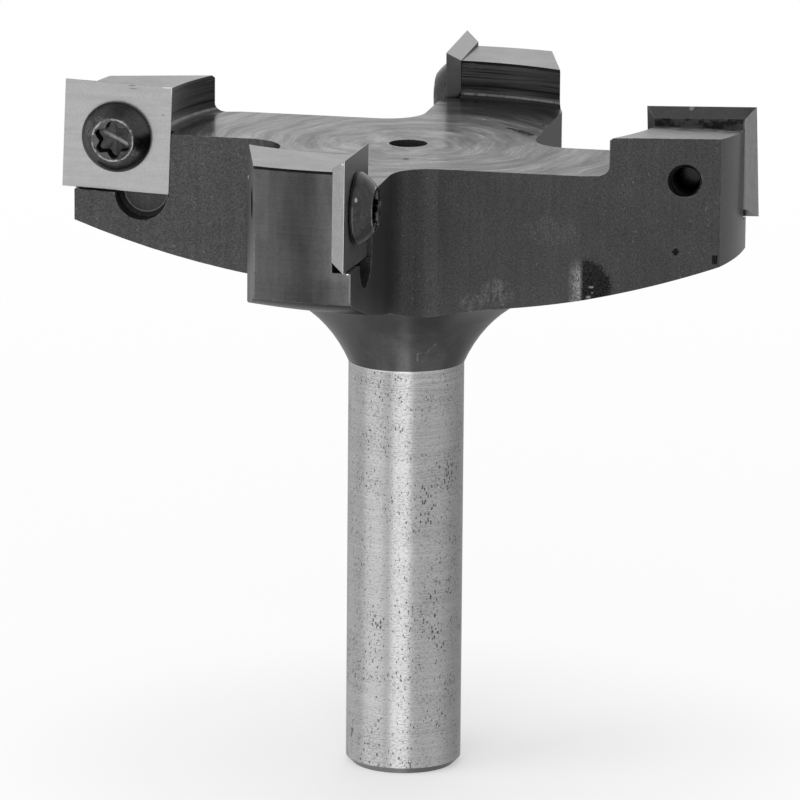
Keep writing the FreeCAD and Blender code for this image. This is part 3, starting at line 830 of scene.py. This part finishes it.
# the screw's outline, as radius and height above its bearing face: the head's foot, the dome's
# two ends and the radius of its arc, the rolled lip round the socket, and the socket's lobes and
# the valleys between them on the way down
THREAD_CORE, THREAD_CREST = 1.42, 1.67
SCREW_NECK = 1.65
HEAD_FOOT = ((3.55, 0.0), (3.72, 0.015), (3.84, 0.07), (3.9, 0.17), (3.9, 0.42), (3.875, 0.52))
DOME_FOOT, DOME_TOP, DOME_RADIUS = Vector(HEAD_FOOT[-1]), Vector((2.42, 2.12)), 5.2
LIP = ((2.38, 2.17), (2.33, 2.21), (2.26, 2.215), (2.2, 2.17))
SOCKET = ((2.11, 1.52, 2.12), (2.05, 1.46, 2.05), (2.04, 1.45, 1.5), (2.02, 1.43, 0.85),
          (1.98, 1.39, 0.76), (1.84, 1.28, 0.72), (1.1, 0.85, 0.62))
SOCKET_FLOOR = (0.45, 0.48)


def screw(wing, spin):
    """A button-head screw, with its bearing face on the wing's insert."""
    seat = SEAT_Y - RAKE_Y
    tip = seat - SCREW_REACH
    rings = [plain(0.9, tip), plain(1.25, tip + 0.05), plain(1.45, tip + 0.35)]
    height = tip + 0.4
    while height < seat - 0.3:
        rings.append(thread(height, THREAD_CORE, THREAD_CREST))
        height += PITCH / 9
    rings += [plain(1.5, seat - 0.2), plain(SCREW_NECK, seat), plain(SCREW_NECK, 0.0)]
    rings += [plain(*point) for point in HEAD_FOOT]
    chord = DOME_TOP - DOME_FOOT
    lift = Vector((chord.y, -chord.x)).normalized()
    sagitta = chord.length_squared / (8 * DOME_RADIUS)
    for share in (0.08, 0.2, 0.35, 0.5, 0.65, 0.8, 0.92, 1.0):
        bulge = sagitta * 4 * share * (1 - share)
        point = DOME_FOOT + chord * share + lift * bulge
        rings.append(plain(point.x, point.y))
    rings += [plain(*point) for point in LIP]
    socket = [star(*level, spin) for level in SOCKET]
    lip, mouth = rings[-1], socket[0]
    rings += [between(lip, mouth, 0.35), between(lip, mouth, 0.8)]
    rings += socket + [plain(*SOCKET_FLOOR)]
    mesh = tube(rings, 144)
    # the mesh's +Z, along which the screw's head stands, is the wing's own +Y
    stand = Matrix.Rotation(math.radians(-90), 4, "X")
    place = Matrix.Translation(Vector((INSERT_X, RAKE_Y, INSERT_Z)) * MM)
    return finished(mesh, "screw_%d" % wing, turn(wing) @ place @ stand)


def tapped_thread(wing):
    """The thread cut in the open end of a tapped hole, from the screw's tip to the slanting
    trailing face."""
    slope = math.tan(math.radians(TAPER_ANGLE))

    def cut_off(ring):
        def shorter(angle):
            radius, height = ring(angle)
            face = TRAILING - (INSERT_X + radius * math.cos(angle) - TAPER_START) * slope
            return radius, min(height, face - 0.06)
        return shorter

    # it stands just clear of the hole's wall
    wall = HOLE_RADIUS - 0.001
    start = -SEAT_Y + SCREW_REACH
    rings = [plain(wall, start + 0.1)]
    height = start + 0.2
    while height < TRAILING - 2.2:
        rings.append(cut_off(thread(height, HOLE_RADIUS - 0.005, HOLE_RADIUS - 0.20)))
        height += PITCH / 10
    rings.append(cut_off(plain(wall, TRAILING)))
    mesh = tube(rings, 72, closed=False)
    bmesh.ops.reverse_faces(mesh, faces=mesh.faces)
    # the mesh's +Z runs to the trailing side, the wing's own -Y
    stand = Matrix.Rotation(math.radians(90), 4, "X")
    place = Matrix.Translation(Vector((INSERT_X, 0.0, INSERT_Z)) * MM)
    return finished(mesh, "tapped_thread_%d" % wing, turn(wing) @ place @ stand)


screw_material = screw_steel()
thread_material = hole_thread()
for wing, spin in enumerate(SPINS, 1):
    head = screw(wing, math.radians(spin))
    give(head, screw_material)
    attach(head, "root")
    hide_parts("clamp_screw_%d" % wing)
    cut = tapped_thread(wing)
    give(cut, thread_material)
    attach(cut, "root")


# ---------------------------------------------------------------- camera

TARGET = Vector((0.0, 0.0, 40.0)) * MM
AZIMUTH = math.radians(11.61)
ELEVATION = math.radians(13.36)
DISTANCE = 827.7 * MM
ROLL = math.radians(0.48)
# the focal length and the shift of the picture's middle, in pixels of the picture's side
FOCAL_PIXELS = 7549.5
SHIFT_PIXELS = (-6.04, 8.11)
PICTURE = 800.0
SENSOR = 36.0

forward = Vector((-math.sin(AZIMUTH) * math.cos(ELEVATION),
                  math.cos(AZIMUTH) * math.cos(ELEVATION), -math.sin(ELEVATION)))
level = Vector((math.cos(AZIMUTH), math.sin(AZIMUTH), 0.0))
upward = level.cross(forward)
right = level * math.cos(ROLL) + upward * math.sin(ROLL)
above = upward * math.cos(ROLL) - level * math.sin(ROLL)
camera_data = bpy.data.cameras.new("camera")
camera_data.sensor_width = SENSOR
camera_data.lens = SENSOR * FOCAL_PIXELS / PICTURE
camera_data.shift_x, camera_data.shift_y = (shift / PICTURE for shift in SHIFT_PIXELS)
camera_data.clip_start = 0.01
camera_data.clip_end = 50.0
camera = bpy.data.objects.new("camera", camera_data)
bpy.context.scene.collection.objects.link(camera)
spot = TARGET - forward * DISTANCE
camera.matrix_world = Matrix((
    (right.x, above.x, -forward.x, spot.x),
    (right.y, above.y, -forward.y, spot.y),
    (right.z, above.z, -forward.z, spot.z),
    (0.0, 0.0, 0.0, 1.0),
))
bpy.context.scene.camera = camera


# ---------------------------------------------------------------- floor and light

class Ground(Tree):
    """A white floor that keeps the object's soft shadow, strongest where it stands."""

    def __init__(self):
        half = 20.0
        corners = [(-half, -half, 0), (half, -half, 0), (half, half, 0), (-half, half, 0)]
        mesh = bpy.data.meshes.new("floor")
        mesh.from_pydata(corners, [], [(0, 1, 2, 3)])
        floor = bpy.data.objects.new("floor", mesh)
        floor.visible_glossy = False
        bpy.context.scene.collection.objects.link(floor)
        material = bpy.data.materials.new("floor")
        material.use_nodes = True
        self.tree = material.node_tree
        self.tree.nodes.remove(self.tree.nodes["Principled BSDF"])
        place = self.tree.nodes.new("ShaderNodeTexCoord")
        away = self.vector("LENGTH", place.outputs["Object"])
        # the shadow is strongest at the shank's foot and gone 0.4 m away
        shaded = self.times(self.step(away, 0.008, 0.06, 0.60, 0.12),
                            self.step(away, 0.06, 0.40, 1.0, 0.0))
        matte = self.tree.nodes.new("ShaderNodeBsdfDiffuse")
        matte.inputs["Color"].default_value = (0.92, 0.92, 0.92, 1.0)
        white = self.tree.nodes.new("ShaderNodeEmission")
        ray = self.tree.nodes.new("ShaderNodeLightPath")
        seen = self.most(ray.outputs["Is Camera Ray"], ray.outputs["Is Glossy Ray"])
        seen = self.most(seen, ray.outputs["Is Transmission Ray"])
        mix = self.tree.nodes.new("ShaderNodeMixShader")
        self.link(self.times(seen, self.minus(1.0, shaded)), mix.inputs[0])
        self.link(matte.outputs[0], mix.inputs[1])
        self.link(white.outputs[0], mix.inputs[2])
        self.link(mix.outputs[0], self.tree.nodes["Material Output"].inputs["Surface"])
        give(floor, material)


def bearing(side):
    """The world angle of a direction that many degrees right of the camera's, from the object."""
    return math.atan2(-math.cos(AZIMUTH), math.sin(AZIMUTH)) + math.radians(side)


class Studio(Tree):
    """The white room that the metal reflects, with two soft boxes, a dimmer ceiling and a dim
    corner below the horizon. lighting is how strongly it lights the matt surfaces."""

    def __init__(self, lighting):
        world = bpy.data.worlds.new("world")
        bpy.context.scene.world = world
        world.use_nodes = True
        self.tree = world.node_tree
        place = self.tree.nodes.new("ShaderNodeTexCoord")
        x, y, z = self.split(place.outputs["Generated"])
        self.flat = self.vector("NORMALIZE", self.join(x, y, 0.0))
        room = self.step(z, 0.80, 0.96, 1.0, 0.50)
        corner = self.times(self.near(150.0, 50.0, 35.0), self.step(z, 0.12, -0.08))
        room = self.times(room, self.math("MULTIPLY_ADD", corner, -0.55, 1.0))
        tall = self.step(z, 0.34, 0.14)
        boxes = self.plus(self.times(self.near(-8.0, 19.0, 3.0), 1.35),
                          self.times(self.near(-65.5, 22.5, 3.0), 0.68))
        room = self.plus(room, self.times(boxes, tall))
        ray = self.tree.nodes.new("ShaderNodeLightPath")
        mirrored = self.most(ray.outputs["Is Glossy Ray"], ray.outputs["Is Transmission Ray"])
        strength = self.towards(mirrored, lighting, room)
        strength = self.towards(ray.outputs["Is Camera Ray"], strength, 1.0)
        background = self.tree.nodes["Background"]
        background.inputs["Color"].default_value = (1.0, 1.0, 1.0, 1.0)
        self.link(strength, background.inputs["Strength"])

    def near(self, side, half, soft):
        """1 in directions within half degrees of this side, easing to 0 over soft."""
        towards = (math.cos(bearing(side)), math.sin(bearing(side)), 0.0)
        facing = self.vector("DOT_PRODUCT", self.flat, towards)
        return self.step(facing, math.cos(math.radians(half + soft)),
                         math.cos(math.radians(max(half - soft, 0.0))))


def area_light(name, side, height, distance, width, tall, level):
    """A soft box for the matt surfaces. side is degrees to the right of the camera's direction as
    seen from the object, height its elevation; level is the radiance of its surface."""
    raised = math.radians(height)
    away = Vector((math.cos(bearing(side)) * math.cos(raised),
                   math.sin(bearing(side)) * math.cos(raised), math.sin(raised)))
    data = bpy.data.lights.new(name, "AREA")
    data.shape = "RECTANGLE"
    data.size = width
    data.size_y = tall
    data.energy = level * math.pi * width * tall
    light = bpy.data.objects.new(name, data)
    light.location = TARGET + Vector((0, 0, 0.02)) + away * distance
    light.rotation_euler = (-away).to_track_quat("-Z", "Y").to_euler()
    light.visible_camera = False
    light.visible_glossy = False
    bpy.context.scene.collection.objects.link(light)


Ground()
Studio(0.55)
area_light("key", -8.0, 30.0, 1.3, 0.85, 1.0, 2.2)
area_light("left", -66.0, 28.0, 1.2, 0.85, 1.1, 1.7)
area_light("back", 172.0, 32.0, 1.3, 0.85, 1.0, 1.1)

scene = bpy.context.scene
scene.view_settings.view_transform = "Standard"
